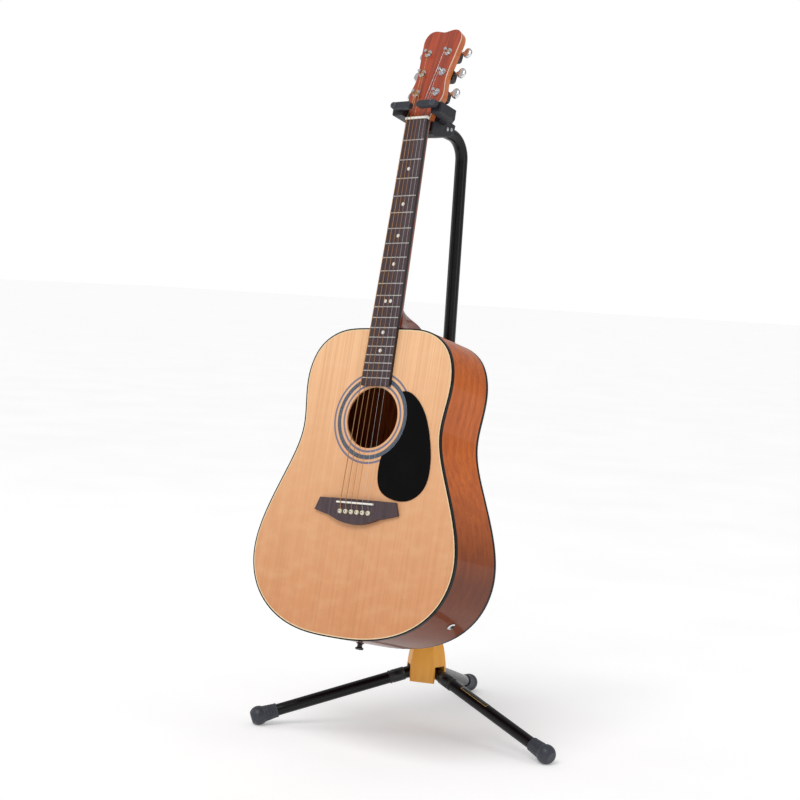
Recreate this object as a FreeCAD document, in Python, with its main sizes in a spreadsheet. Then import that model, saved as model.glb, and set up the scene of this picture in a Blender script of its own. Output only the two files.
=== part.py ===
"""Acoustic guitar hanging in a folding floor stand, built as separate named pieces.

Row frame: millimetres, +Z up, the guitar's front faces -Y, the floor is z = 0 and the
origin is under the middle of the whole object.

Three local frames are used:
  guitar   x to the treble side, y up the neck, z out of the soundboard, origin on the
           soundboard at the start of the scale
  mast     z up the leaning mast, origin where its axis enters the leg hub
  leg      x outwards along the leg, origin on its hinge pin
"""
import FreeCAD
import Part
import math
import os

from FreeCAD import Placement, Rotation, Vector

DIMENSIONS = {
    # where things stand
    "hub_x": -47.70, "hub_y": 11.62,
    "saddle_ahead": 265.7, "saddle_height": 419.3, "guitar_lean": 13.6,
    "guitar_swing": 3.0, "yoke_hold_y": 665.0,
    # guitar body
    "tail_y": -223.0, "neck_joint_y": 290.0,
    "depth_at_tail": 125.0, "depth_at_neck": 104.0,
    "plate_thick": 3.0, "rib_thick": 2.2, "binding_high": 6.0, "purfling_wide": 1.6,
    "lining_wide": 6.0, "lining_high": 14.0,
    "soundhole_radius": 51.0, "soundhole_y": 139.5, "inlay_deep": 1.0,
    "pickguard_thick": 1.2,
    "bridge_thick": 8.5, "bridge_wing_thick": 5.0, "saddle_y": -4.0, "saddle_long": 74.0,
    "saddle_wide": 3.0, "saddle_top": 12.0, "pin_y": -18.7, "pin_pitch": 11.4,
    "end_pin_radius": 4.0, "jack_radius": 4.6,
    # neck
    "scale_length": 650.0, "fret_count": 20, "board_end_y": 192.0, "board_thick": 6.5,
    "nut_half_width": 21.5, "board_end_half_width": 28.4, "fret_high": 1.0, "fret_wide": 2.2,
    "neck_thick_nut": 12.5, "neck_thick_heel": 15.5, "heel_deep": 90.0,
    "nut_thick": 5.0, "nut_top": 9.0,
    "head_tilt": 12.0, "head_thick": 15.0, "head_long": 173.5,
    # tuners
    "post_radius": 3.0, "post_x": 20.5, "post_first": 47.5, "post_pitch": 40.0,
    "post_high": 12.0, "wheel_radius": 5.5, "shaft_radius": 2.4, "button_x": 45.5,
    "running_gap": 0.05,
    # leg hub and legs
    "hub_bottom": 81.0, "hub_waist": 139.0, "hub_top": 165.0, "notch_top": 109.5, "notch_wide": 22.0,
    "panel_wide": 41.0, "leg_face_wide": 30.0,
    "back_leg_azimuth": 109.0, "leg_pivot_out": 20.0, "leg_pivot_height": 98.5,
    "leg_radius": 10.25, "leg_wall": 1.6, "foot_out": 294.8, "foot_radius": 16.5,
    "foot_height": 16.2, "pin_radius": 2.5,
    # mast
    "mast_foot": 113.0, "mast_lean": 1.26, "lower_mast_radius": 12.7, "lower_mast_top": 516.0,
    "upper_mast_radius": 10.8, "tube_wall": 1.5, "upper_mast_bottom": 256.0,
    "bend_height": 916.8, "bend_radius": 42.0, "bend_angle": 81.7, "bend_tail": 33.5,
    "clutch_radius": 19.0, "clutch_high": 62.0,
    # backrest
    "rest_height": 212.0, "rest_hinge_out": 36.0, "rest_bar_radius": 6.0,
    "rest_pad_radius": 15.0, "rest_pad_long": 66.0, "rest_pad_middle": 66.0,
    "rest_gap": 0.8, "rest_touch_y": -74.0,
    # yoke
    "cradle_bottom": 658.0, "cradle_top": 677.0, "cradle_half_width": 49.5,
    "cradle_slot": 29.5, "cradle_front": 10.0, "cradle_back": -48.0,
    "head_half_width": 16.0, "plunger_radius": 5.0, "plunger_z": -38.0,
    "gate_pivot_x": 40.0, "gate_tip_x": 6.0, "gate_high": 12.0, "gate_thick": 12.0,
    "gate_pin_radius": 3.0, "gate_pin_long": 14.0,
}

# plan of the body, tail to neck, treble half
BODY_PLAN = [
    (79, -217), (139, -195.5), (184.5, -154), (203.5, -98), (192, -28), (160, 50),
    (140, 118), (147, 200), (128, 260), (90, 284.5), (45, 290),
]
# headstock half outline, from the nut to the top
HEAD_PLAN = [(21.8, 0), (22.4, 10), (28, 23.5), (34, 38), (30.5, 70), (33, 112), (37.5, 150)]
STRING_RADII = [0.67, 0.54, 0.42, 0.32, 0.22, 0.17]
MARKED_FRETS = {3: (0,), 5: (0,), 7: (0,), 9: (0,), 12: (-5.3, 5.3), 15: (0,), 17: (0,)}
LEG_TURNS = {"back": 0, "left": 120, "right": 240}

doc = FreeCAD.newDocument("guitar_on_stand")
sheet = doc.addObject("Spreadsheet::Sheet", "Dimensions")
for row, (alias, value) in enumerate(DIMENSIONS.items(), start=1):
    sheet.set(f"A{row}", alias)
    sheet.set(f"B{row}", str(value))
    sheet.setAlias(f"B{row}", alias)
doc.recompute()

parts = []


def size(alias):
    """A driving dimension, read from the sheet."""
    return float(sheet.get(alias))


X_AXIS, Y_AXIS, Z_AXIS = Vector(1, 0, 0), Vector(0, 1, 0), Vector(0, 0, 1)
HUB = Vector(size("hub_x"), size("hub_y"), 0)
SWING = math.radians(size("guitar_swing"))
GUITAR = Placement(
    HUB + Vector(size("yoke_hold_y") * math.sin(SWING), -size("saddle_ahead"), size("saddle_height")),
    Rotation(X_AXIS, 90 - size("guitar_lean")).multiply(Rotation(Z_AXIS, size("guitar_swing"))),
)
MAST = Placement(HUB + Vector(0, 0, size("mast_foot")), Rotation(X_AXIS, -size("mast_lean")))
HEADSTOCK = GUITAR.multiply(Placement(
    Vector(0, size("scale_length") + size("nut_thick"), 0),
    Rotation(X_AXIS, -size("head_tilt")),
))


def leg_frame(turn):
    """Frame of the leg that stands `turn` degrees round from the back one."""
    drop = size("leg_pivot_height") - size("foot_height")
    slope = math.degrees(math.atan2(drop, size("foot_out") - size("leg_pivot_out")))
    around = Rotation(Z_AXIS, size("back_leg_azimuth") + turn)
    pivot = around.multVec(Vector(size("leg_pivot_out"), 0, size("leg_pivot_height")))
    return Placement(HUB + pivot, around.multiply(Rotation(Y_AXIS, slope)))


def leg_length():
    """Distance from a leg's hinge pin to the middle of its foot."""
    drop = size("leg_pivot_height") - size("foot_height")
    return math.hypot(drop, size("foot_out") - size("leg_pivot_out"))


# ---------------------------------------------------------------- helpers

def finish_part(feature, name, placement=Placement()):
    """Name an object as one of the object's pieces and put it in place."""
    feature.Label = name
    feature.Placement = placement.multiply(feature.Placement)
    parts.append(feature)
    return feature


def piece(name, shape, placement=Placement()):
    """A piece whose shape is worked out here, from the sheet's sizes."""
    feature = doc.addObject("Part::Feature", name)
    feature.Shape = shape
    return finish_part(feature, name, placement)


def group(name, shapes, placement=Placement()):
    """Several identical or matching solids kept as one piece."""
    return piece(name, Part.makeCompound(shapes), placement)


def bound(kind, name, placement=Placement(), **sizes):
    """A primitive whose properties follow the sheet, each given as an expression."""
    feature = doc.addObject(kind, name)
    for prop, rule in sizes.items():
        feature.setExpression(prop, rule)
    feature.Placement = placement
    return feature


def cylinder(name, radius, height, placement=Placement()):
    """A cylinder up its own z axis; radius and height are sheet expressions."""
    return bound("Part::Cylinder", name, placement, Radius=radius, Height=height)


def boolean(kind, name, base, tool):
    """A Part::Cut, Part::Fuse or Part::Common of two objects."""
    feature = doc.addObject(kind, name)
    feature.Base = base
    feature.Tool = tool
    return feature


def pad(name, edges, length, placement=Placement()):
    """A padded sketch: closed edges in the XY plane, pushed up z by a sheet expression."""
    body = doc.addObject("PartDesign::Body", name)
    sketch = body.newObject("Sketcher::SketchObject", f"{name}_sketch")
    plane = next(f for f in body.Origin.OriginFeatures if f.Role == "XY_Plane")
    sketch.AttachmentSupport = (plane, [""])
    sketch.MapMode = "FlatFace"
    for edge in edges:
        sketch.addGeometry(edge, False)
    feature = body.newObject("PartDesign::Pad", f"{name}_pad")
    feature.Profile = sketch
    feature.setExpression("Length", length)
    body.Placement = placement
    doc.recompute()
    return body


def polyline(points, closed=True):
    """Line segments through x, y points."""
    spots = [Vector(x, y, 0) for x, y in points]
    ends = spots[1:] + spots[:1] if closed else spots[1:]
    return [Part.LineSegment(a, b) for a, b in zip(spots, ends)]


def face_of(edges):
    """The flat face inside a closed run of edges."""
    return Part.Face(Part.Wire([edge.toShape() for edge in edges]))


def smooth(points):
    """An open curve through x, y points."""
    curve = Part.BSplineCurve()
    curve.interpolate([Vector(x, y, 0) for x, y in points])
    return curve


def tube_along(start, end, radius):
    """A round bar between two points."""
    start, end = Vector(*start), Vector(*end)
    return Part.makeCylinder(radius, (end - start).Length, start, end - start)


def box(low, high):
    """A box between two corners."""
    low, high = Vector(*low), Vector(*high)
    extent = high - low
    return Part.makeBox(extent.x, extent.y, extent.z, low)


def lifted(face, low, high):
    """A face in the XY plane as a plate from z = low to z = high."""
    face = face.copy()
    face.translate(Vector(0, 0, low))
    return face.extrude(Vector(0, 0, high - low))


# ---------------------------------------------------------------- guitar body

def body_face(inset):
    """The body's plan, drawn in by `inset` all round."""
    treble = [Vector(x, y, 0) for x, y in BODY_PLAN]
    bass = [Vector(-spot.x, spot.y, 0) for spot in reversed(treble)]
    tail, top = Vector(0, size("tail_y"), 0), Vector(0, size("neck_joint_y"), 0)
    curve = Part.BSplineCurve()
    curve.interpolate([tail] + treble + [top] + bass, PeriodicFlag=True)
    if inset:
        steps = 120
        first, last = curve.FirstParameter, curve.LastParameter
        spots = []
        for step in range(steps):
            at = first + (last - first) * step / steps
            along = curve.tangent(at)[0]
            spots.append(curve.value(at) + Vector(-along.y, along.x, 0) * inset)
        curve = Part.BSplineCurve()
        curve.interpolate(spots, PeriodicFlag=True)
    return Part.Face(Part.Wire([curve.toShape()]))


def back_slab(low, high):
    """The space between two planes parallel to the tapering back, counted from it."""
    taper = size("depth_at_tail") - size("depth_at_neck")
    length = size("neck_joint_y") - size("tail_y")
    slab = box((-300, -60, low), (300, length + 60, high))
    slab.Placement = Placement(
        Vector(0, size("tail_y"), -size("depth_at_tail")),
        Rotation(X_AXIS, math.degrees(math.atan2(taper, length))),
    )
    return slab


def body_ring(outer, inner):
    """The band of the plan between two insets."""
    return body_face(outer).cut(body_face(inner))


def pin_spots():
    """The bridge pins' x positions, bass to treble."""
    return [size("pin_pitch") * (index - 2.5) for index in range(6)]


def pin_holes(radius):
    """Cylinders through the top for the six bridge pins."""
    return [
        Part.makeCylinder(radius, 60, Vector(x, size("pin_y"), -30), Z_AXIS) for x in pin_spots()
    ]


def make_top():
    """Soundboard with its inlaid purfling and rosette, and the edge binding."""
    rib, thick, inlay = size("rib_thick"), size("plate_thick"), size("inlay_deep")
    centre = Vector(0, size("soundhole_y"), 0)
    purfling = lifted(body_ring(rib, rib + size("purfling_wide")), -inlay, 0)
    hole_radius = size("soundhole_radius")
    rings = []
    for inner, outer in ((3.8, 7.4), (11.6, 18.8), (22.9, 26.3)):
        disc = Part.makeCylinder(hole_radius + outer, inlay, centre - Z_AXIS * inlay)
        rings.append(disc.cut(Part.makeCylinder(hole_radius + inner, inlay, centre - Z_AXIS * inlay)))
    top = lifted(body_face(rib), -thick, 0)
    top = top.cut([Part.makeCylinder(hole_radius, 20, centre - Z_AXIS * 10), purfling] + rings)
    top = top.cut(pin_holes(size("pin_radius")))
    piece("soundboard", top, GUITAR)
    piece("top_purfling", purfling, GUITAR)
    group("rosette", rings, GUITAR)
    piece("top_binding", lifted(body_ring(0, rib), -size("binding_high"), 0), GUITAR)


def make_ribs():
    """The two bent sides, meeting at the tail and the neck, with the jack's hole."""
    ring = lifted(body_ring(0, size("rib_thick")), -140, -size("binding_high"))
    ring = ring.cut(back_slab(-80, size("binding_high")))
    bass = ring.common(box((-300, -300, -200), (0, 400, 10)))
    treble = ring.common(box((0, -300, -200), (300, 400, 10)))
    hole = Part.makeCylinder(size("end_pin_radius"), 60, end_pin_spot() + Y_AXIS * 30, -Y_AXIS)
    spot, outwards = jack_spot()
    treble = treble.cut([hole, Part.makeCylinder(size("jack_radius"), 40, spot - outwards * 20, outwards)])
    piece("side_bass", bass.cut(hole), GUITAR)
    piece("side_treble", treble, GUITAR)


def make_back():
    """Back plate, its binding, and the linings that glue both plates to the sides."""
    rib, high, lining = size("rib_thick"), size("binding_high"), size("lining_wide")
    thick = size("plate_thick")
    column = lifted(body_face(rib), -140, -20)
    piece("back_plate", column.common(back_slab(0, thick)), GUITAR)
    band = lifted(body_ring(0, rib), -140, -20)
    piece("back_binding", band.common(back_slab(0, high)), GUITAR)
    lining_ring = body_ring(rib, rib + lining)
    upper = lifted(lining_ring, -thick - size("lining_high"), -thick)
    lower = lifted(lining_ring, -140, -40).common(back_slab(thick, thick + size("lining_high")))
    blocks = [block_space(end) for end in ("neck", "tail")]
    group("linings", [upper.cut(blocks), lower.cut(blocks)], GUITAR)


def block_space(end):
    """The box that the neck block or the tail block fills, before it meets the sides."""
    if end == "neck":
        return box((-36, size("neck_joint_y") - 50, -140), (36, size("neck_joint_y") + 5, 5))
    return box((-38, size("tail_y") - 5, -140), (38, size("tail_y") + 24, 5))


def make_blocks():
    """The inner blocks at the neck and the tail."""
    inside = lifted(body_face(size("rib_thick")), -140, -size("plate_thick"))
    inside = inside.cut(back_slab(-80, size("plate_thick")))
    hole = Part.makeCylinder(size("end_pin_radius"), 60, end_pin_spot() + Y_AXIS * 30, -Y_AXIS)
    blocks = [inside.common(block_space("neck")), inside.common(block_space("tail")).cut(hole)]
    group("end_blocks", blocks, GUITAR)


def rounded_bar(start, end, wide, high, low):
    """A brace: a bar of given width and height whose underside is at z = low."""
    start, end = Vector(*start, 0), Vector(*end, 0)
    length = (end - start).Length
    bar = Part.makeBox(length, wide, high, Vector(0, -wide / 2, 0))
    edges = [e for e in bar.Edges if abs(e.Length - length) < 1e-6 and e.CenterOfMass.z < high / 2]
    bar = bar.makeFillet(wide * 0.3, edges)
    turn = math.degrees(math.atan2(end.y - start.y, end.x - start.x))
    bar.Placement = Placement(start + Z_AXIS * low, Rotation(Z_AXIS, turn))
    return bar


def make_braces():
    """Top bracing (an X, a bar over the hole, tone bars), back ladder bars, bridge plate."""
    top_z = -size("plate_thick")
    inside = lifted(body_face(size("rib_thick") + size("lining_wide") + 0.5), -140, top_z)
    arms = [
        rounded_bar((-145, -141), (146, 232), 7, 13, top_z - 13),
        rounded_bar((145, -141), (-146, 232), 7, 13, top_z - 13),
    ]
    cross = arms[0].fuse(arms[1])
    bars = [
        cross,
        rounded_bar((-150, 215), (150, 215), 9, 14, top_z - 14),
        rounded_bar((-20, -60), (95, -150), 6, 9, top_z - 9),
        rounded_bar((-52, -105), (50, -185), 6, 9, top_z - 9),
    ]
    bars[1] = bars[1].cut(cross)
    plate_room = box((-70, -40, -40), (70, 18, 5))
    group("top_braces", [bar.cut(plate_room).common(inside) for bar in bars], GUITAR)
    plate = pad("bridge_plate_body", polyline([(-66, 14), (66, 14), (60, -36), (-60, -36)]), "2.5 mm")
    drilled = doc.addObject("Part::Feature", "bridge_plate_drilled")
    holes = [Part.makeCylinder(size("pin_radius"), 60, Vector(x, size("pin_y"), -30)) for x in pin_spots()]
    drilled.Shape = plate.Shape.cut(holes)
    drilled.Placement = Placement(Vector(0, 0, top_z - 2.5), Rotation())
    finish_part(drilled, "bridge_plate", GUITAR)
    ladder = []
    for y in (-150, -55, 70, 215):
        bar = rounded_bar((-205, y), (205, y), 10, 12, 0)
        bar.Placement = back_slab(0, 1).Placement.multiply(
            Placement(Vector(-205, y - size("tail_y"), size("plate_thick")), Rotation()))
        ladder.append(bar.common(lifted(body_face(size("rib_thick") + size("lining_wide") + 0.5), -140, 0)))
    group("back_braces", ladder, GUITAR)


def make_pickguard():
    """A teardrop plate that hugs the rosette's middle ring."""
    hug = size("soundhole_radius") + 19.0
    centre = Vector(0, size("soundhole_y"), 0)
    upper, lower, between = (math.radians(a) for a in (40, -63, -12))
    spot = lambda angle: centre + Vector(math.cos(angle), math.sin(angle), 0) * hug
    inner = Part.Arc(spot(upper), spot(between), spot(lower))
    outer = smooth([
        (spot(lower).x, spot(lower).y), (29.5, 52), (38.5, 22), (66, 7.5), (99, 8), (123, 27),
        (130, 63), (121, 111), (104, 151), (82, 176), (66, 184.5), (spot(upper).x, spot(upper).y),
    ])
    guard = pad("pickguard", [inner, outer], "Dimensions.pickguard_thick")
    finish_part(guard, "pickguard", GUITAR)


def make_bridge():
    """Bridge with dropped wings, its saddle and its six pins."""
    thick, wing = size("bridge_thick"), size("bridge_wing_thick")
    top = [(-77, 2.5), (77, 2.5), (85, -18.5), (46, -28)]
    belly = Part.Arc(Vector(46, -28, 0), Vector(0, -38.5, 0), Vector(-46, -28, 0))
    far_wing = polyline([(-46, -28), (-85, -18.5), (-77, 2.5)], closed=False)
    edges = polyline(top, closed=False) + [belly] + far_wing
    block = pad("bridge_body", edges, "Dimensions.bridge_thick").Shape
    edge = 58
    cuts = []
    for sign in (-1, 1):
        cuts.append(box((min(sign * edge, sign * 100), -60, wing), (max(sign * edge, sign * 100), 20, 20)))
        cuts.append(Part.makeCylinder(12, 80, Vector(sign * edge, -60, wing + 12), Y_AXIS))
    half = size("saddle_long") / 2
    across = size("saddle_wide") / 2
    slot_low = thick - 5
    slot = box((-half, size("saddle_y") - across, slot_low), (half, size("saddle_y") + across, 20))
    piece("bridge", block.cut(cuts + [slot] + pin_holes(size("pin_radius"))), GUITAR)
    saddle = box((-half, size("saddle_y") - across, slot_low),
                 (half, size("saddle_y") + across, size("saddle_top")))
    crown = [e for e in saddle.Edges if abs(e.Length - 2 * half) < 1e-6 and e.CenterOfMass.z > slot_low + 1]
    piece("saddle", saddle.makeFillet(1.2, crown), GUITAR)
    pins = []
    for x in pin_spots():
        shank = Part.makeCylinder(size("pin_radius"), thick + 22, Vector(x, size("pin_y"), -22))
        head = Part.makeSphere(4.0, Vector(x, size("pin_y"), thick)).common(
            box((x - 5, size("pin_y") - 5, thick), (x + 5, size("pin_y") + 5, thick + 3.2)))
        pins.append(shank.fuse(head))
    group("bridge_pins", pins, GUITAR)


def end_pin_spot():
    """Middle of the tail, on the outside of the side."""
    return Vector(0, size("tail_y"), -size("depth_at_tail") / 2)


def jack_spot():
    """Where the output jack sits on the treble lower bout, and the way it faces."""
    outline = body_face(0).OuterWire.Edges[0].Curve
    at = outline.parameter(Vector(164.5, -177, 0))
    spot = outline.value(at)
    along = outline.tangent(at)[0]
    outwards = Vector(along.y, -along.x, 0)
    return Vector(spot.x, spot.y, -72), outwards


def make_tail_hardware():
    """The strap button in the tail block and the output jack's ring and barrel."""
    radius = size("end_pin_radius")
    profile = [(0, -40), (radius, -40), (radius, 0), (6.5, 0), (6.5, 1.2), (4.2, 2.4), (4.2, 6.5),
               (7.4, 8.8), (6.2, 11.4), (0, 12)]
    button = face_of(polyline(profile)).revolve(Vector(), Y_AXIS, 360)
    button.Placement = Placement(end_pin_spot(), Rotation(Z_AXIS, 180))
    piece("end_pin", button, GUITAR)
    spot, outwards = jack_spot()
    profile = [(2.6, -26), (size("jack_radius"), -26), (size("jack_radius"), 0.6), (6.8, 0.6),
               (6.8, 1.6), (5.4, 3.2), (2.6, 3.2)]
    jack = face_of(polyline(profile)).revolve(Vector(), Y_AXIS, 360)
    jack.Placement = Placement(spot, Rotation(Y_AXIS, outwards))
    piece("output_jack", jack, GUITAR)


# ---------------------------------------------------------------- neck and strings

def fret_y(number):
    """Where a fret lies along the neck."""
    return size("scale_length") / 2 ** (number / 12)


def board_half_width(y):
    """Half the fingerboard's width at a place along the neck."""
    travel = (size("scale_length") - y) / (size("scale_length") - size("board_end_y"))
    return size("nut_half_width") + travel * (size("board_end_half_width") - size("nut_half_width"))


def neck_section(y, deep):
    """The neck's rounded cross-section at y."""
    half = board_half_width(y)
    flat = Part.LineSegment(Vector(-half, y, 0), Vector(half, y, 0))
    round_back = Part.BSplineCurve()
    round_back.interpolate([
        Vector(half, y, 0), Vector(half * 0.9, y, -deep * 0.52), Vector(half * 0.5, y, -deep * 0.92),
        Vector(0, y, -deep), Vector(-half * 0.5, y, -deep * 0.92), Vector(-half * 0.9, y, -deep * 0.52),
        Vector(-half, y, 0),
    ])
    return Part.Wire([flat.toShape(), round_back.toShape()])


def heel_section(z, half, reach):
    """The heel's plan at depth z: flat against the body, rounded towards the nut."""
    joint = size("neck_joint_y")
    base = Part.LineSegment(Vector(-half, joint, z), Vector(half, joint, z))
    nose = Part.BSplineCurve()
    nose.interpolate([
        Vector(half, joint, z), Vector(half * 0.82, joint + reach * 0.62, z), Vector(0, joint + reach, z),
        Vector(-half * 0.82, joint + reach * 0.62, z), Vector(-half, joint, z),
    ])
    return Part.Wire([base.toShape(), nose.toShape()])


def head_face():
    """The headstock's outline in its own plane, with a waved top edge."""
    right = smooth(HEAD_PLAN)
    left = smooth([(-x, y) for x, y in reversed(HEAD_PLAN)])
    corner_x, corner_y = HEAD_PLAN[-1]
    top = size("head_long")
    treble = [(corner_x, corner_y), (corner_x - 1.3, top - 13), (corner_x - 6, top - 5),
              (corner_x - 13, top - 1), (corner_x - 20.5, top - 0.6), (corner_x - 29.5, top - 2.5)]
    crown = smooth(treble + [(0, top - 4)] + [(-x, y) for x, y in reversed(treble)])
    foot_x = HEAD_PLAN[0][0]
    return face_of([right, crown, left] + polyline([(-foot_x, 0), (foot_x, 0)], closed=False))


def make_neck():
    """One mahogany piece: shaft, heel and tilted headstock, with the truss rod's channel."""
    nut_end = size("scale_length") + size("nut_thick")
    thin, deep = size("neck_thick_nut"), size("neck_thick_heel")
    sections = [neck_section(nut_end, thin), neck_section(470, (thin + deep) / 2),
                neck_section(size("neck_joint_y"), deep)]
    shaft = Part.makeLoft(sections, True, False)
    full = board_half_width(size("neck_joint_y"))
    heel = Part.makeLoft([
        heel_section(-4, full - 0.6, 60), heel_section(-20, full * 0.86, 47),
        heel_section(-34, full * 0.72, 39), heel_section(-62, full * 0.6, 31),
        heel_section(-size("heel_deep"), full * 0.52, 23),
    ], True, False)
    head = lifted(head_face(), -size("head_thick"), 0)
    tilt = Rotation(X_AXIS, -size("head_tilt"))
    head.Placement = Placement(Vector(0, nut_end, 0), tilt)
    gusset = Part.makeLoft([
        neck_section(nut_end - 26, thin + 0.4), neck_section(nut_end + 2, thin + 3.2),
    ], True, True).cut(box((-40, nut_end, -0.5), (40, nut_end + 9, 5)))
    above = box((-60, nut_end - 40, 0), (60, nut_end + 230, 60))
    body = lifted(body_face(-size("running_gap")), -150, 0)
    neck = shaft.fuse([heel, head, gusset]).cut([above, body])
    for index in range(6):
        x, y = post_spot(index)
        drill = Part.makeCylinder(5.0, 60, Vector(x, y, -40))
        drill.Placement = Placement(Vector(0, nut_end, 0), tilt)
        neck = neck.cut(drill)
    rod = box((-3.2, size("neck_joint_y") - 10, -8), (3.2, size("scale_length") - 14, 0))
    piece("neck", neck.cut(rod).removeSplitter(), GUITAR)
    bar = bound("Part::Box", "truss_rod", Width="Dimensions.scale_length - 16 - Dimensions.neck_joint_y",
                Length="6.4 mm", Height="8 mm")
    bar.Placement = Placement(Vector(-3.2, size("neck_joint_y") + 1, -8), Rotation())
    finish_part(bar, "truss_rod", GUITAR)


def make_fingerboard():
    """Tapered fingerboard, its dot markers and its frets."""
    low, high = size("board_end_y"), size("scale_length")
    wide, slim = board_half_width(low), board_half_width(high)
    board = pad("fingerboard_body", polyline([(-wide, low), (wide, low), (slim, high), (-slim, high)]),
                "Dimensions.board_thick").Shape
    face = size("board_thick")
    dots = []
    for number, places in MARKED_FRETS.items():
        middle = (fret_y(number - 1) + fret_y(number)) / 2
        dots += [Part.makeCylinder(3.1, 1.2, Vector(x, middle, face - 1.2)) for x in places]
    piece("fingerboard", board.cut(dots), GUITAR)
    group("fret_markers", dots, GUITAR)
    frets = []
    for number in range(1, int(size("fret_count")) + 1):
        y, half = fret_y(number), board_half_width(fret_y(number)) - 0.3
        reach, rise = size("fret_wide") / 2, size("fret_high")
        arch = Part.Arc(Vector(-half, y - reach, face), Vector(-half, y, face + rise),
                        Vector(-half, y + reach, face))
        base = Part.LineSegment(Vector(-half, y + reach, face), Vector(-half, y - reach, face))
        frets.append(Part.Face(Part.Wire([arch.toShape(), base.toShape()])).extrude(Vector(2 * half, 0, 0)))
    group("frets", frets, GUITAR)


def string_route(index):
    """Where a string bears: behind the saddle, on it, on the nut, and on its post."""
    radius = STRING_RADII[index]
    bridge_x = pin_spots()[index] * 0.98
    nut_x = (index - 2.5) * 7.2
    post_x, post_y = post_spot(index)
    inner = 1 if post_x < 0 else -1
    tilt = Rotation(X_AXIS, -size("head_tilt"))
    touch = Vector(post_x + inner * (size("post_radius") + radius + 0.1), post_y, size("post_high") - 4.0)
    on_post = Vector(0, size("scale_length") + size("nut_thick"), 0) + tilt.multVec(touch)
    return [
        Vector(bridge_x, size("pin_y") + 4.6, size("bridge_thick") + radius),
        Vector(bridge_x, size("saddle_y"), size("saddle_top") + radius),
        Vector(nut_x, size("scale_length") + 2, size("nut_top") - 0.6 + radius),
        on_post,
    ]


def make_strings():
    """Six straight strings over saddle and nut, and the slotted nut."""
    strings = []
    for index, radius in enumerate(STRING_RADII):
        route = string_route(index)
        path = Part.makePolygon(route)
        ring = Part.Wire([Part.Circle(route[0], route[1] - route[0], radius).toShape()])
        strings.append(path.makePipeShell([ring], True, False, 1))
    half, low = size("nut_half_width"), size("scale_length")
    nut = box((-half, low, 0), (half, low + size("nut_thick"), size("nut_top")))
    back_edge = [e for e in nut.Edges if abs(e.Length - 2 * half) < 1e-6
                 and e.CenterOfMass.z > 1 and e.CenterOfMass.y > low + 1]
    nut = nut.makeFillet(3.0, back_edge)
    piece("nut", nut.cut(strings), GUITAR)
    group("strings", strings, GUITAR)


# ---------------------------------------------------------------- tuners

def post_spot(index):
    """A tuner post in the headstock's plane: bass posts go up, treble posts come down."""
    rank = index if index < 3 else 5 - index
    side = -1 if index < 3 else 1
    return side * size("post_x"), size("post_first") + rank * size("post_pitch")


def tuner_side(index):
    return -1 if index < 3 else 1


def worm_offset():
    """How far the worm's axis lies from the post's, along the headstock."""
    return size("wheel_radius") + size("shaft_radius") + 0.3


def make_tuners():
    """Bushings and gear housings as groups, and a turning post and button for each string."""
    back, gap = -size("head_thick"), size("running_gap")
    bushings, housings = [], []
    for index in range(6):
        x, y = post_spot(index)
        side = tuner_side(index)
        low, high = sorted((x - side * 9, x + side * 13))
        bushing = Part.makeCylinder(5.0, size("head_thick"), Vector(x, y, back))
        bushing = bushing.fuse(Part.makeCylinder(7.0, 1.6, Vector(x, y, 0)))
        bushings.append(bushing.cut(Part.makeCylinder(size("post_radius") + gap, 60, Vector(x, y, -30))))
        shell = box((low, y - 8, back - 10), (high, y + 12.5, back))
        upright = [e for e in shell.Edges if abs(e.Length - 10) < 1e-6]
        shell = shell.makeFillet(4.0, upright)
        room = box((low + 1.6, y - 6.6, back - 8.6), (high - 1.6, y + 11.1, back))
        axle = Part.makeCylinder(size("shaft_radius") + gap, 60,
                                 Vector(x, y + worm_offset(), back - 4.6), X_AXIS * side)
        housings.append(shell.cut([room, axle]))
    group("tuner_bushings", bushings, HEADSTOCK)
    group("tuner_housings", housings, HEADSTOCK)
    for index in range(6):
        make_tuner(index, back)


def make_tuner(index, back):
    """One post with its worm wheel, and its button with the worm's shaft."""
    x, y = post_spot(index)
    side = tuner_side(index)
    top = size("post_high")
    post = Part.makeCylinder(size("post_radius"), top - back + 7.4, Vector(x, y, back - 7.4))
    post = post.fuse(Part.makeCylinder(size("wheel_radius"), 5.6, Vector(x, y, back - 7.4)))
    hole = Part.makeCylinder(0.9, 20, Vector(x - 10, y, top - 2.6), X_AXIS)
    waist = Part.makeTorus(size("post_radius") + 1.4, 2.0, Vector(x, y, top - 4.4))
    piece(f"tuner_post_{index + 1}", post.cut([hole, waist]), HEADSTOCK)
    axis_y, axis_z = y + worm_offset(), back - 4.6
    inner = x - side * 6.5
    shaft = tube_along((inner, axis_y, axis_z), (side * (size("button_x") - 4), axis_y, axis_z),
                       size("shaft_radius"))
    neck_x = side * (size("button_x") - 9)
    collar = tube_along((neck_x, axis_y, axis_z), (side * (size("button_x") - 4), axis_y, axis_z), 3.6)
    oval = Part.Ellipse(Vector(0, 9.5, 0), Vector(7.5, 0, 0), Vector())
    grip = Part.Face(Part.Wire([oval.toShape()])).extrude(Z_AXIS * 6.8)
    grip = grip.makeFillet(2.6, [e for e in grip.Edges if e.BoundBox.ZLength < 1e-6])
    grip.translate(Vector(side * size("button_x"), axis_y, axis_z - 3.4))
    piece(f"tuner_button_{index + 1}", shaft.fuse([collar, grip]), HEADSTOCK)


# ---------------------------------------------------------------- stand

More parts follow.
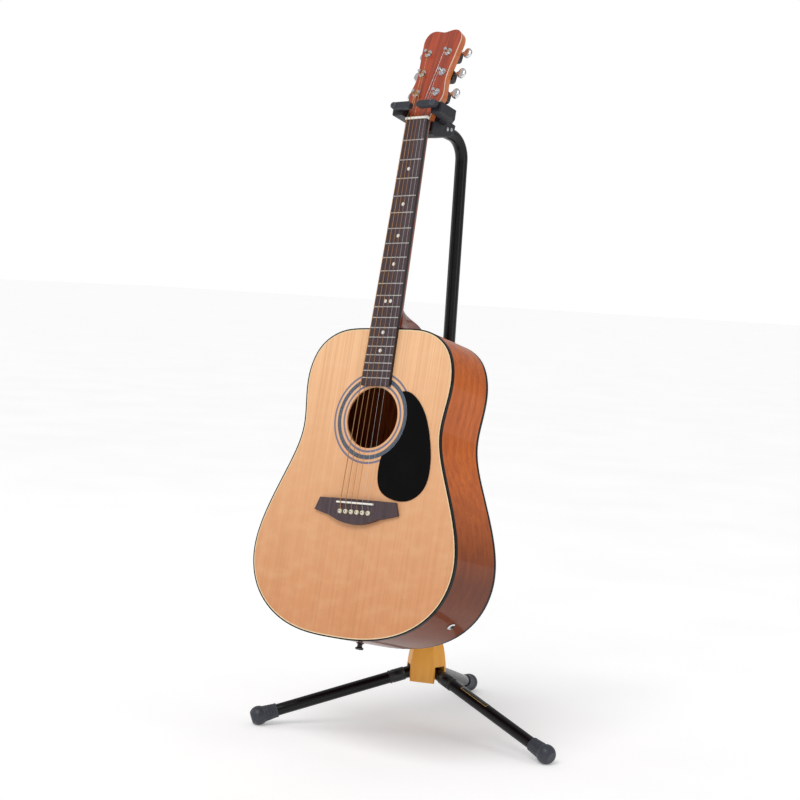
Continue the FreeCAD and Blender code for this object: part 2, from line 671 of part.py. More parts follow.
def hub_section(height, scale):
    """The hub's six-sided section: three wide panels between three leg faces."""
    panel, face = size("panel_wide") * scale, size("leg_face_wide") * scale
    out = (face + 2 * panel) / (2 * math.sqrt(3))
    corners = []
    for turn in LEG_TURNS.values():
        around = Rotation(Z_AXIS, size("back_leg_azimuth") + turn)
        corners += [around.multVec(Vector(out, sign * face / 2, 0)) + Z_AXIS * height for sign in (-1, 1)]
    return Part.makePolygon(corners + corners[:1])


def make_hub():
    """The moulded leg hub, notched for the legs, and its three hinge pins."""
    levels = [(size("hub_bottom"), 1.0), (size("notch_top") + 2, 1.0), (size("hub_waist"), 0.87),
              (size("hub_top"), 0.62)]
    hub = Part.makeLoft([hub_section(*level) for level in levels], True, False)
    upright = [e for e in hub.Edges if e.BoundBox.ZLength > 40]
    hub = hub.makeFillet(2.5, upright)
    tools, pins = [], []
    for turn in LEG_TURNS.values():
        around = Placement(Vector(), Rotation(Z_AXIS, size("back_leg_azimuth") + turn))
        half = size("notch_wide") / 2
        notch = box((size("leg_pivot_out") - size("leg_radius") - 1, -half, 0), (60, half, size("notch_top")))
        pivot = Vector(size("leg_pivot_out"), -16, size("leg_pivot_height"))
        pin = Part.makeCylinder(size("pin_radius"), 32, pivot, Y_AXIS)
        notch.Placement = around
        pin.Placement = around
        tools += [notch, pin]
        pins.append(pin)
        flutes = Rotation(Z_AXIS, size("back_leg_azimuth") + turn + 60)
        for shift in (-13, 0, 13):
            groove = Part.makeCylinder(7, 200, Vector(36.2, shift, 0))
            groove.Placement = Placement(Vector(), flutes)
            tools.append(groove)
    hub.Placement = Placement(HUB, Rotation())
    for tool in tools:
        tool.translate(HUB)
    mast = Part.makeCylinder(size("lower_mast_radius"), 200)
    mast.Placement = MAST
    piece("leg_hub", hub.cut(tools + [mast]))
    group("leg_pins", [pin.copy() for pin in pins])


def make_legs():
    """Three tubular legs, each hinged at the hub and shod with a rubber foot."""
    length = leg_length()
    sideways = Rotation(Y_AXIS, 90)
    for where, turn in LEG_TURNS.items():
        frame = leg_frame(turn)
        name = f"leg_{where}"
        outside = cylinder(f"{name}_outside", "Dimensions.leg_radius", f"{length - 12} mm",
                           Placement(Vector(), sideways))
        knuckle = bound("Part::Sphere", f"{name}_knuckle", Radius="Dimensions.leg_radius")
        rod = boolean("Part::Fuse", f"{name}_rod", outside, knuckle)
        bore = cylinder(f"{name}_bore", "Dimensions.leg_radius - Dimensions.leg_wall", f"{length - 30} mm",
                        Placement(Vector(24, 0, 0), sideways))
        hollow = boolean("Part::Cut", f"{name}_hollow", rod, bore)
        eye = cylinder(f"{name}_eye", "Dimensions.pin_radius + Dimensions.running_gap", "40 mm",
                       Placement(Vector(0, 20, 0), Rotation(X_AXIS, 90)))
        finish_part(boolean("Part::Cut", name, hollow, eye), name, frame)
        piece(f"foot_{where}", foot_shape(frame, length))


def foot_shape(frame, length):
    """A ribbed rubber bulb on the end of a leg, flat where it meets the floor."""
    radius, tube = size("foot_radius"), size("leg_radius")
    start, end = length - 33, length + 13.5
    neck_x = length - 9
    neck_r = math.sqrt(radius ** 2 - 81)
    tip_r = math.sqrt(radius ** 2 - 13.5 ** 2)
    ribs = []
    for step in range(4):
        x = start + 4 + step * 5
        ribs += [(x, 12.4 + step * 0.4), (x + 0.8, 11.8 + step * 0.4), (x + 1.6, 12.4 + step * 0.4)]
    outline = polyline([(length - 12, 0), (length - 12, tube), (start, tube), (start, 12.2)] + ribs
                       + [(neck_x, neck_r)], closed=False)
    bulb = Part.Arc(Vector(neck_x, neck_r, 0), Vector(length, radius, 0), Vector(end, tip_r, 0))
    outline += [bulb] + polyline([(end, tip_r), (end, 0), (length - 12, 0)], closed=False)
    foot = face_of(outline).revolve(Vector(), X_AXIS, 360)
    foot.Placement = frame
    return foot.cut(box((-900, -900, -50), (900, 900, 0)))


def mast_path(tail):
    """The upper mast's centre line in the mast frame, ending `tail` past its bend."""
    turn = math.radians(size("bend_angle"))
    reach = size("bend_radius") * math.tan(turn / 2)
    corner = Vector(0, 0, size("bend_height"))
    ahead = Vector(0, -math.sin(turn), math.cos(turn))
    start, end = corner - Z_AXIS * reach, corner + ahead * reach
    inwards = (ahead - Z_AXIS).normalize()
    depth = size("bend_radius") * (1 / math.cos(turn / 2) - 1)
    return start, corner + inwards * depth, end, end + ahead * tail


def bent_bar(radius, bottom, tail):
    """A round bar along the upper mast's centre line."""
    start, middle, end, tip = mast_path(tail)
    path = Part.Wire([
        Part.LineSegment(Vector(0, 0, bottom), start).toShape(),
        Part.Arc(start, middle, end).toShape(),
        Part.LineSegment(end, tip).toShape(),
    ])
    ring = Part.Wire([Part.Circle(Vector(0, 0, bottom), Z_AXIS, radius).toShape()])
    return path.makePipeShell([ring], True, False)


def make_mast():
    """Lower tube, bent upper tube, the height clutch round them and its squeeze lever."""
    wall, gap = size("tube_wall"), size("running_gap")
    outside = cylinder("lower_mast_outside", "Dimensions.lower_mast_radius", "Dimensions.lower_mast_top")
    inside = cylinder("lower_mast_inside", "Dimensions.upper_mast_radius + Dimensions.running_gap",
                      "Dimensions.lower_mast_top", Placement(Vector(0, 0, 6), Rotation()))
    finish_part(boolean("Part::Cut", "lower_mast", outside, inside), "lower_mast", MAST)
    radius = size("upper_mast_radius")
    tube = bent_bar(radius, size("upper_mast_bottom"), size("bend_tail"))
    hollow = bent_bar(radius - wall, size("upper_mast_bottom"), size("bend_tail"))
    piece("upper_mast", tube.cut(hollow), MAST)
    make_clutch(radius + gap)


def make_clutch(bore_radius):
    """A collar that grips the upper tube, with a lever hinged at its back."""
    low, high = size("lower_mast_top") - 34, size("lower_mast_top") - 34 + size("clutch_high")
    outer = size("clutch_radius")
    profile = [(0, low), (outer - 4, low), (outer, low + 5), (outer, high - 10), (outer - 4, high), (0, high)]
    collar = Part.Face(Part.makePolygon([Vector(x, 0, z) for x, z in profile] + [Vector(0, 0, low)]))
    collar = collar.revolve(Vector(), Z_AXIS, 360)
    ear = box((-9, 8, high - 22), (9, outer + 8, high - 8))
    slot = box((-5.3, outer - 1, low - 1), (5.3, outer + 20, high + 1))
    hole = Part.makeCylinder(size("pin_radius") + size("running_gap"), 20,
                             Vector(-10, outer + 3, high - 15), X_AXIS)
    room = Part.makeCylinder(size("lower_mast_radius"), 34, Vector(0, 0, low))
    through = Part.makeCylinder(bore_radius, 200, Vector(0, 0, low - 10))
    collar = collar.fuse(ear).cut([slot, room, through, hole])
    piece("height_clutch", collar, MAST)
    blade = box((-5, outer, low - 14), (5, outer + 8, high - 12.2))
    blade = blade.makeFillet(2.0, [e for e in blade.Edges if abs(e.Length - 10) < 1e-6])
    eye = Part.makeCylinder(size("pin_radius"), 18, Vector(-9, outer + 3, high - 15), X_AXIS)
    piece("clutch_lever", blade.fuse(eye).cut(box((-9, outer - 2, low - 20), (9, outer + 0.4, high))), MAST)


def rest_hinge():
    """The backrest's hinge line, in the mast frame."""
    return Vector(0, -size("rest_hinge_out"), size("rest_height"))


def pad_centre():
    """Where the backrest's crossbar lies, in the mast frame, from the guitar's back."""
    slope = math.atan2(size("depth_at_tail") - size("depth_at_neck"), size("neck_joint_y") - size("tail_y"))
    y = size("rest_touch_y")
    depth = size("depth_at_tail") - (y - size("tail_y")) * math.tan(slope)
    off = size("rest_pad_radius") + size("rest_gap")
    spot = Vector(0, y + off * math.sin(slope), -depth - off * math.cos(slope))
    centre = MAST.inverse().multVec(GUITAR.multVec(spot))
    return Vector(0, centre.y, centre.z)


def make_backrest():
    """A folding T-bar with two foam rolls that the guitar's back leans on."""
    hinge, centre = rest_hinge(), pad_centre()
    height, outer = size("rest_height"), size("lower_mast_radius")
    ring = Part.makeCylinder(outer + 6, 30, Vector(0, 0, height - 15))
    ears = box((-11, hinge.y - 8, height - 8), (11, -outer + 2, height + 8))
    slot = box((-6.3, hinge.y - 20, height - 20), (6.3, -outer - 8, height + 20))
    bore = Part.makeCylinder(outer, 60, Vector(0, 0, height - 30))
    hole = Part.makeCylinder(size("pin_radius") + size("running_gap"), 40, hinge - X_AXIS * 20, X_AXIS)
    piece("backrest_bracket", ring.fuse(ears).cut([slot, bore, hole]), MAST)
    radius, half = size("rest_bar_radius"), size("rest_pad_middle") + size("rest_pad_long") / 2 + 4
    stem = tube_along(hinge, centre, radius)
    eye = Part.makeCylinder(radius, 12, hinge - X_AXIS * 6, X_AXIS)
    pivot = Part.makeCylinder(size("pin_radius"), 24, hinge - X_AXIS * 12, X_AXIS)
    cross = Part.makeCylinder(radius, 2 * half, centre - X_AXIS * half, X_AXIS)
    piece("backrest_bar", stem.fuse([eye, pivot, cross]), MAST)
    pads = []
    for side in (-1, 1):
        low = centre + X_AXIS * (side * size("rest_pad_middle") - size("rest_pad_long") / 2)
        roll = Part.makeCylinder(size("rest_pad_radius"), size("rest_pad_long"), low, X_AXIS)
        around = math.tau * size("rest_pad_radius")
        roll = roll.makeFillet(4, [e for e in roll.Edges if abs(e.Length - around) < 0.1])
        pads.append(roll.cut(cross))
    group("backrest_pads", pads, MAST)


def cradle_face():
    """The cradle's U, drawn in the plane across the neck: x sideways, y towards the front."""
    half, slot = size("cradle_half_width"), size("cradle_slot")
    front, back = size("cradle_front"), size("cradle_back")
    outside = polyline([
        (-slot, front), (-half, front), (-half, back + 14), (14 - half, back), (half - 14, back),
        (half, back + 14), (half, front), (slot, front), (slot, -22),
    ], closed=False)
    bottom = Part.Arc(Vector(slot, -22, 0), Vector(0, -34, 0), Vector(-slot, -22, 0))
    return outside + [bottom] + polyline([(-slot, -22), (-slot, front)], closed=False)


def make_yoke():
    """The head on the mast, the cradle that drops into it, and the two gates."""
    low, high = size("cradle_bottom"), size("cradle_top")
    # sketch y becomes the guitar's z; sketch z becomes the guitar's -y
    across = Placement(Vector(0, high, 0), Rotation(X_AXIS, 90))
    deep = "Dimensions.cradle_top - Dimensions.cradle_bottom"
    cradle = pad("cradle_body", cradle_face(), deep).Shape.copy()
    cradle.Placement = across
    plunger = Part.makeCylinder(size("plunger_radius"), 20, Vector(0, low + 2, size("plunger_z")), -Y_AXIS)
    bores = []
    for side in (-1, 1):
        spot = Vector(side * size("gate_pivot_x"), gate_y(), size("cradle_front") + 1)
        bores.append(Part.makeCylinder(size("gate_pin_radius") + size("running_gap"),
                                       size("gate_pin_long") + 2, spot, -Z_AXIS))
    outer_rim = [e for e in cradle.Edges if e.BoundBox.YLength < 1e-6 and e.Length > 15
                 and abs(e.CenterOfMass.x) > size("cradle_slot") + 5]
    cradle = cradle.makeFillet(2.0, outer_rim)
    piece("yoke_cradle", cradle.fuse(plunger).cut(bores), GUITAR)
    for side, name in ((-1, "gate_left"), (1, "gate_right")):
        make_gate(side, name)
    make_yoke_head(low)


def gate_y():
    """Height of the gates' pivots up the neck."""
    return size("cradle_top") - size("gate_high") / 2


def make_gate(side, name):
    """A finger that closes the cradle's mouth, turning on a pin in the arm's end."""
    half = size("gate_high") / 2
    pivot, tip = side * size("gate_pivot_x"), side * (size("gate_tip_x") + half)
    y = gate_y()
    edges = [
        Part.LineSegment(Vector(pivot, y + half, 0), Vector(tip, y + half, 0)),
        Part.Arc(Vector(tip, y + half, 0), Vector(tip - side * half, y, 0), Vector(tip, y - half, 0)),
        Part.LineSegment(Vector(tip, y - half, 0), Vector(pivot, y - half, 0)),
        Part.Arc(Vector(pivot, y - half, 0), Vector(pivot + side * half, y, 0), Vector(pivot, y + half, 0)),
    ]
    finger = pad(f"{name}_body", edges, "Dimensions.gate_thick").Shape.copy()
    finger.Placement = Placement(Vector(0, 0, size("cradle_front") + 1.5), Rotation())
    rim = [e for e in finger.Edges if abs(e.BoundBox.ZLength) < 1e-6]
    finger = finger.makeFillet(2.0, rim)
    reach = size("gate_pin_long")
    pin = Part.makeCylinder(size("gate_pin_radius"), reach + 3,
                            Vector(pivot, y, size("cradle_front") + 3), -Z_AXIS)
    piece(name, finger.fuse(pin), GUITAR)


def make_yoke_head(cradle_low):
    """The block clamped on the mast's end, bored for the tube and the cradle's plunger."""
    top = cradle_low - 0.5
    half = size("head_half_width")
    behind = size("cradle_back") - 3
    profile = [(-20, top), (-20, 638), (-24, 633.5), (-34, 631), (-74, 645), (-84, 652), (-86, 669),
               (behind, 671), (behind, top)]
    outline = Part.makePolygon([Vector(-half, y, z) for z, y in profile + profile[:1]])
    block = Part.Face(outline).extrude(Vector(2 * half, 0, 0))
    long_edges = [e for e in block.Edges if e.BoundBox.XLength < 1e-6 and e.BoundBox.YLength > 3]
    block = block.makeFillet(2.5, long_edges)
    bore = Part.makeCylinder(size("plunger_radius") + size("running_gap"), 40,
                             Vector(0, top + 1, size("plunger_z")), -Y_AXIS)
    bore = bore.common(box((-20, 635, -80), (20, 700, 0)))
    tube = bent_bar(size("upper_mast_radius"), size("upper_mast_bottom"), size("bend_tail"))
    tube.Placement = GUITAR.inverse().multiply(MAST)
    screws = []
    for z, y in ((-62, 655), (-73, 658)):
        shank = Part.makeCylinder(1.8, 12, Vector(half - 10, y, z), X_AXIS)
        screws.append(shank.fuse(Part.makeCylinder(3.2, 1.4, Vector(half, y, z), X_AXIS)))
    piece("yoke_head", block.cut([bore, tube] + screws), GUITAR)
    group("yoke_screws", [screw.cut(tube) for screw in screws], GUITAR)


# ---------------------------------------------------------------- build and check

def build():
    """Make every piece of the guitar and of the stand."""
    for step in (make_top, make_ribs, make_back, make_blocks, make_braces, make_pickguard, make_bridge,
                 make_tail_hardware, make_neck, make_fingerboard, make_strings, make_tuners,
                 make_hub, make_legs, make_mast, make_backrest, make_yoke):
        step()
    doc.recompute()


def export():
    """Check every object and write one STEP file for each piece."""
    for feature in doc.Objects:
        if {"Invalid", "Error"} & set(feature.State):
            raise RuntimeError(f"{feature.Name} failed to compute")
    os.makedirs("parts", exist_ok=True)
    whole = FreeCAD.BoundBox()
    for feature in parts:
        shape = feature.Shape
        if shape.isNull() or not shape.isValid() or not shape.Solids:
            raise RuntimeError(f"{feature.Label} has no valid solid")
        shape.exportStep(f"parts/{feature.Label}.step")
        whole.add(shape.optimalBoundingBox(False))
    print(f"{len(parts)} pieces, {whole.XLength:.1f} x {whole.YLength:.1f} x {whole.ZLength:.1f} mm")
    print(f"middle of the box {whole.Center.x:.2f}, {whole.Center.y:.2f}; lowest z {whole.ZMin:.3f}")


build()
export()
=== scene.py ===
"""Looks for the acoustic guitar hanging in its folding stand.

Materials are procedural and follow four frames, all in millimetres:
  guitar     x to the treble side, y up the neck, z out of the soundboard
  headstock  the same, tilted back behind the nut
  mast       z up the mast, origin where its axis enters the leg hub
  leg        x outwards along a leg, origin on its hinge pin
"""
import math

import bpy
from mathutils import Euler, Matrix, Vector


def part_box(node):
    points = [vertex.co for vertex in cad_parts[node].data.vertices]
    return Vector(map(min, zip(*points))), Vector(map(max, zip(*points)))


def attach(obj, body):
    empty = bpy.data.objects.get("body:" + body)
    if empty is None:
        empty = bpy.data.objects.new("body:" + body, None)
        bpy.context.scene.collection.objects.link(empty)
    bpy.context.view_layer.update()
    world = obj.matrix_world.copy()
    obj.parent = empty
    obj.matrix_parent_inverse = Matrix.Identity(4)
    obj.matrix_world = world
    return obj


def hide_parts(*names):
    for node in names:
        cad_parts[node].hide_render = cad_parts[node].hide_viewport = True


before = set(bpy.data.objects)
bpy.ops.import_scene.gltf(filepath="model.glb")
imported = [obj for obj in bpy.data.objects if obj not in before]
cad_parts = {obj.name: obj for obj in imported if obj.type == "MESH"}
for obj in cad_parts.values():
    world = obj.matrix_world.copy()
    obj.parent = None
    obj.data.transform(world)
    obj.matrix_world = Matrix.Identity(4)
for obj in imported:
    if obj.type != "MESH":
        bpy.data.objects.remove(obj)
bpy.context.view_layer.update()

MM = 0.001

# ---------------------------------------------------------------- frames

HUB = Vector((-47.70, 11.62, 0.0))
GUITAR_LEAN, GUITAR_SWING = 13.6, 3.0
YOKE_HOLD_Y = 665.0
SADDLE = HUB + Vector((YOKE_HOLD_Y * math.sin(math.radians(GUITAR_SWING)), -265.7, 419.3))
HEAD_TILT = 12.0
NUT_END = 655.0
MAST_FOOT = 113.0
MAST_LEAN = 1.26
LEG_PIVOT_OUT, LEG_PIVOT_HIGH = 20.0, 98.5
FOOT_OUT, FOOT_HIGH = 294.8, 16.2
BACK_LEG_AZIMUTH = 109.0
LEG_TURNS = {"leg_back": 0, "leg_left": 120, "leg_right": 240}
LEG_RADIUS = 10.25

POST_X, POST_FIRST, POST_PITCH, POST_RADIUS, POST_HIGH = 20.5, 47.5, 40.0, 3.0, 12.0
STRING_RADII = (0.67, 0.54, 0.42, 0.32, 0.22, 0.17)
SOUNDHOLE_Y = 139.5
PIN_Y, PIN_PITCH = -18.7, 11.4


def turned(degrees, axis):
    """A rotation about a world axis, as a 4 x 4 matrix."""
    return Matrix.Rotation(math.radians(degrees), 4, axis)


def leg_matrix(turn):
    """Frame of the leg that stands `turn` degrees round from the back one."""
    drop = math.atan2(LEG_PIVOT_HIGH - FOOT_HIGH, FOOT_OUT - LEG_PIVOT_OUT)
    around = turned(BACK_LEG_AZIMUTH + turn, "Z")
    pivot = Matrix.Translation(Vector((LEG_PIVOT_OUT, 0.0, LEG_PIVOT_HIGH)))
    return Matrix.Translation(HUB) @ around @ pivot @ Matrix.Rotation(drop, 4, "Y")


GUITAR = Matrix.Translation(SADDLE) @ turned(90 - GUITAR_LEAN, "X") @ turned(GUITAR_SWING, "Z")
HEADSTOCK = GUITAR @ Matrix.Translation(Vector((0.0, NUT_END, 0.0))) @ turned(-HEAD_TILT, "X")
MAST = Matrix.Translation(HUB + Vector((0.0, 0.0, MAST_FOOT))) @ turned(-MAST_LEAN, "X")
LEGS = {name: leg_matrix(turn) for name, turn in LEG_TURNS.items()}

# ---------------------------------------------------------------- node helpers


def colour(red, green, blue):
    """An sRGB colour from 0 to 255 as the linear RGBA that the nodes take."""
    linear = []
    for value in (red, green, blue):
        value /= 255
        linear.append(value / 12.92 if value <= 0.04045 else ((value + 0.055) / 1.055) ** 2.4)
    return (*linear, 1.0)


def plug(tree, socket, value):
    """Link a socket, or set its number or colour."""
    if isinstance(value, bpy.types.NodeSocket):
        tree.links.new(value, socket)
    else:
        socket.default_value = value


def add_node(tree, kind, inputs=(), **settings):
    """A node with its settings and its inputs, given by name or by place."""
    node = tree.nodes.new(kind)
    for name, value in settings.items():
        setattr(node, name, value)
    for name, value in dict(inputs).items():
        plug(tree, node.inputs[name], value)
    return node


def place_in(tree, matrix, stretch=(1.0, 1.0, 1.0)):
    """Position in a frame, in millimetres, with each axis multiplied by `stretch`."""
    spot = add_node(tree, "ShaderNodeTexCoord").outputs["Object"]
    inverse = matrix.inverted()
    turn = add_node(tree, "ShaderNodeMapping", {"Vector": spot})
    turn.inputs["Scale"].default_value = (1 / MM,) * 3
    turn.inputs["Rotation"].default_value = inverse.to_euler()
    turn.inputs["Location"].default_value = inverse.translation
    if stretch == (1.0, 1.0, 1.0):
        return turn.outputs[0]
    scaled = add_node(tree, "ShaderNodeMapping", {"Vector": turn.outputs[0]})
    scaled.inputs["Scale"].default_value = stretch
    return scaled.outputs[0]


def noise(tree, vector, scale=1.0, detail=4.0, rough=0.5, twist=0.0):
    """Fractal noise from 0 to 1."""
    inputs = {"Vector": vector, "Scale": scale, "Detail": detail, "Roughness": rough, "Distortion": twist}
    return add_node(tree, "ShaderNodeTexNoise", inputs).outputs["Fac"]


def math_node(tree, operation, first, second=0.0, third=0.0):
    """One step of arithmetic on numbers or sockets."""
    node = add_node(tree, "ShaderNodeMath", operation=operation)
    for socket, value in zip(node.inputs, (first, second, third)):
        plug(tree, socket, value)
    return node.outputs[0]


def spread(tree, value, low, high, to_low=0.0, to_high=1.0):
    """A value from low..high mapped to to_low..to_high, and held at the ends."""
    inputs = {"Value": value, "From Min": low, "From Max": high, "To Min": to_low, "To Max": to_high}
    return add_node(tree, "ShaderNodeMapRange", inputs).outputs[0]


def mixed(tree, amount, first, second):
    """Two colours mixed: the first at amount 0, the second at 1."""
    node = add_node(tree, "ShaderNodeMix", data_type="RGBA", blend_type="MIX")
    plug(tree, node.inputs["Factor"], amount)
    plug(tree, node.inputs[6], first)
    plug(tree, node.inputs[7], second)
    return node.outputs[2]


def distance(tree, across, along):
    """The length of a flat vector, from its two parts."""
    squares = [math_node(tree, "MULTIPLY", part, part) for part in (across, along)]
    return math_node(tree, "SQRT", math_node(tree, "ADD", *squares))


def split(tree, vector):
    """The x, y and z outputs of a vector."""
    return add_node(tree, "ShaderNodeSeparateXYZ", {"Vector": vector}).outputs


def bump(tree, height, deep, strength=0.5):
    """A normal from a height of 0 to 1 that stands for `deep` millimetres."""
    inputs = {"Height": height, "Strength": strength, "Distance": deep * MM}
    return add_node(tree, "ShaderNodeBump", inputs).outputs[0]


def finish_material(name, base, rough, normal=None, **sockets):
    """Close a material's tree with a Principled shader."""
    material = bpy.data.materials.new(name)
    material.use_nodes = True
    tree = material.node_tree
    shader = tree.nodes["Principled BSDF"]
    for socket, rule in (("Base Color", base), ("Roughness", rough), ("Normal", normal)):
        if rule is not None:
            plug(tree, shader.inputs[socket], rule(tree) if callable(rule) else rule)
    for socket, value in sockets.items():
        shader.inputs[socket.replace("_", " ")].default_value = value
    return material


# ---------------------------------------------------------------- woods

LACQUER = {"Coat_Weight": 0.6, "Coat_Roughness": 0.09}


def streaks(tree, matrix, across, along, detail=3.0, twist=0.0):
    """Noise drawn out along y: `across` and `along` are a streak's width and length in mm."""
    stretch = (1 / across, 1 / along, 1 / across)
    return noise(tree, place_in(tree, matrix, stretch), 1.0, detail, 0.55, twist)


def spruce(tree):
    """Pale straight-grained top with fine dark winter lines, and painted shade making it darker and warmer
    towards the tail.
    """
    y = split(tree, place_in(tree, GUITAR))["Y"]
    # painted light and shade: lighter towards the neck, darker and warmer towards the tail
    base = mixed(tree, spread(tree, y, -210, 250), colour(216, 146, 96), colour(255, 202, 152))
    lines = spread(tree, streaks(tree, GUITAR, 1.3, 420, 4), 0.42, 0.66)
    base = mixed(tree, math_node(tree, "MULTIPLY", lines, 0.30), base, colour(176, 112, 66))
    bands = spread(tree, streaks(tree, GUITAR, 15, 900, 2), 0.35, 0.7)
    base = mixed(tree, math_node(tree, "MULTIPLY", bands, 0.22), base, colour(205, 138, 84))
    silk = spread(tree, noise(tree, place_in(tree, GUITAR, (0.03, 0.05, 0.03)), 1.0, 3), 0.45, 0.75)
    return mixed(tree, math_node(tree, "MULTIPLY", silk, 0.14), base, colour(252, 214, 170))


def grain_bump(matrix, across, along, deep):
    """A rule for a fine lengthwise grain under the finish."""
    return lambda tree: bump(tree, streaks(tree, matrix, across, along), deep)


def inner_spruce(tree):
    """Unfinished inside wood, dulled in soft patches."""
    base = mixed(tree, streaks(tree, GUITAR, 1.6, 160), colour(176, 132, 84), colour(206, 166, 116))
    dull = spread(tree, noise(tree, place_in(tree, GUITAR), 0.02), 0.4, 0.7)
    return mixed(tree, dull, base, colour(160, 114, 70))


def mahogany(light, dark, matrix, wave=2.5, contrast=1.0):
    """A rule for brown-red wood with broad drifting figure and short dark pores.

    `wave` bends the figure, and a `contrast` below 1 keeps it nearer the light colour.
    """
    def rule(tree):
        figure = spread(tree, streaks(tree, matrix, 9, 190, 4, wave), 0.32, 0.68)
        base = mixed(tree, spread(tree, figure, 0.0, 1.0, 1.0 - contrast), dark, light)
        fine = spread(tree, streaks(tree, matrix, 1.5, 70, 3), 0.4, 0.7)
        base = mixed(tree, math_node(tree, "MULTIPLY", fine, 0.35), base, dark)
        pores = spread(tree, streaks(tree, matrix, 0.55, 7, 1), 0.66, 0.74)
        return mixed(tree, math_node(tree, "MULTIPLY", pores, 0.5), base, colour(60, 24, 12))
    return rule


def rib_wood(tree):
    """The sides: figure that follows the rim, with painted shade darkening them towards the tail."""
    base = mahogany(colour(216, 110, 34), colour(146, 58, 12), GUITAR, 0.25, 0.55)(tree)
    y = split(tree, place_in(tree, GUITAR))["Y"]
    # painted shade: the sides darken towards the tail
    return mixed(tree, spread(tree, y, 40, -110, 0.0, 0.8), base, colour(66, 20, 4))


def back_wood(tree):
    """Two matched halves with a dark centre seam."""
    base = mahogany(colour(168, 88, 44), colour(108, 46, 22), GUITAR)(tree)
    x = math_node(tree, "ABSOLUTE", split(tree, place_in(tree, GUITAR))["X"])
    return mixed(tree, spread(tree, x, 1.6, 1.0), base, colour(44, 20, 12))


def neck_wood(tree):
    """Reddish neck; the headstock has a red-brown face, orange sides, and a cream painted highlight along the
    front edge of its sides.
    """
    _, y, z = split(tree, place_in(tree, HEADSTOCK))
    wood = mahogany(colour(158, 78, 42), colour(104, 42, 22), GUITAR, 0.8)(tree)
    face = mahogany(colour(202, 78, 34), colour(128, 42, 18), HEADSTOCK, 1.2)(tree)
    sides = mahogany(colour(226, 126, 56), colour(186, 88, 38), HEADSTOCK, 0.6)(tree)
    # painted highlight: a cream band along the front edge of the headstock's sides
    edge_highlight = mixed(tree, spread(tree, z, -2.3, -2.6), colour(246, 218, 188), sides)
    head = mixed(tree, spread(tree, z, -0.25, -0.45), face, edge_highlight)
    return mixed(tree, spread(tree, y, -6, 4), wood, head)


def rosewood(tree):
    """Purple-brown oiled board with open pores."""
    base = mixed(tree, spread(tree, streaks(tree, GUITAR, 4, 150, 4, 1.2), 0.3, 0.7),
                 colour(54, 40, 45), colour(86, 67, 72))
    pores = spread(tree, streaks(tree, GUITAR, 0.5, 8, 1), 0.60, 0.72)
    return mixed(tree, math_node(tree, "MULTIPLY", pores, 0.7), base, colour(28, 20, 22))


def edged_rosewood(tree):
    """The fingerboard: rosewood on top, nearly black down its sides."""
    z = split(tree, place_in(tree, GUITAR))["Z"]
    return mixed(tree, spread(tree, z, 6.3, 6.1), rosewood(tree), colour(16, 13, 14))


def wood_materials():
    """Every wooden finish, by the nodes that wear it."""
    grain = grain_bump(GUITAR, 1.3, 300, 0.05)
    pores = grain_bump(GUITAR, 0.6, 8, 0.12)
    sheen = {"Coat_Weight": 0.35, "Coat_Roughness": 0.04, "Specular_IOR_Level": 0.1}
    return {
        ("soundboard",): finish_material("lacquered_spruce", spruce, 0.34, grain, **LACQUER),
        ("top_braces", "back_braces", "bridge_plate", "linings", "end_blocks"):
            finish_material("bare_spruce", inner_spruce, 0.72, grain),
        ("side_bass", "side_treble"): finish_material("rib_mahogany", rib_wood, 0.3, grain, **sheen),
        ("back_plate",): finish_material("back_mahogany", back_wood, 0.3, grain, **sheen),
        ("neck",): finish_material("neck_mahogany", neck_wood, 0.36, pores, **LACQUER),
        ("fingerboard",): finish_material("edged_rosewood", edged_rosewood, 0.5, pores),
        ("bridge",): finish_material("oiled_rosewood", rosewood, 0.5, pores),
    }


# ---------------------------------------------------------------- other materials


def speckle(first, second, grain_mm):
    """A rule for two close colours mottled at one scale."""
    def rule(tree):
        vector = place_in(tree, GUITAR, (1 / grain_mm,) * 3)
        return mixed(tree, spread(tree, noise(tree, vector), 0.35, 0.65), first, second)
    return rule


def skin(grain_mm, deep, strength=0.4):
    """A rule for a fine even texture, as moulded or painted surfaces have."""
    def rule(tree):
        return bump(tree, noise(tree, place_in(tree, GUITAR, (1 / grain_mm,) * 3)), deep, strength)
    return rule


def worn(low, high, grain_mm=14.0):
    """A rule for roughness that drifts between two values."""
    def rule(tree):
        vector = place_in(tree, GUITAR, (1 / grain_mm,) * 3)
        return spread(tree, noise(tree, vector), 0.3, 0.7, low, high)
    return rule


def rosette_rings(tree):
    """Three inlaid rings: thin violet-grey inside and out, a dark one of fine lines between."""
    x, y, _ = split(tree, place_in(tree, GUITAR))
    dy = math_node(tree, "SUBTRACT", y, SOUNDHOLE_Y)
    radius = distance(tree, x, dy)
    lines = math_node(tree, "PINGPONG", math_node(tree, "SUBTRACT", radius, 62.6), 0.9)
    dark = mixed(tree, spread(tree, lines, 0.62, 0.72), colour(26, 28, 36), colour(150, 166, 188))
    thin = math_node(tree, "PINGPONG", radius, 0.6)
    thin = mixed(tree, spread(tree, thin, 0.25, 0.4), colour(92, 90, 116), colour(150, 146, 164))
    middle = math_node(tree, "MULTIPLY", spread(tree, radius, 60, 60.5), spread(tree, radius, 71.5, 71))
    return mixed(tree, middle, thin, dark)


def pin_ivory(tree):
    """Cream bridge pins, each with a small dark dot on its head."""
    x, y, z = split(tree, place_in(tree, GUITAR))
    along = math_node(tree, "PINGPONG", x, PIN_PITCH / 2)
    off_x = math_node(tree, "SUBTRACT", along, PIN_PITCH / 2)
    off_y = math_node(tree, "SUBTRACT", y, PIN_Y)
    radius = distance(tree, off_x, off_y)
    dot = math_node(tree, "MULTIPLY", spread(tree, radius, 1.3, 1.0), spread(tree, z, 8.6, 8.8))
    cream = speckle(colour(236, 228, 206), colour(222, 210, 182), 6)(tree)
    return mixed(tree, dot, cream, colour(30, 26, 26))


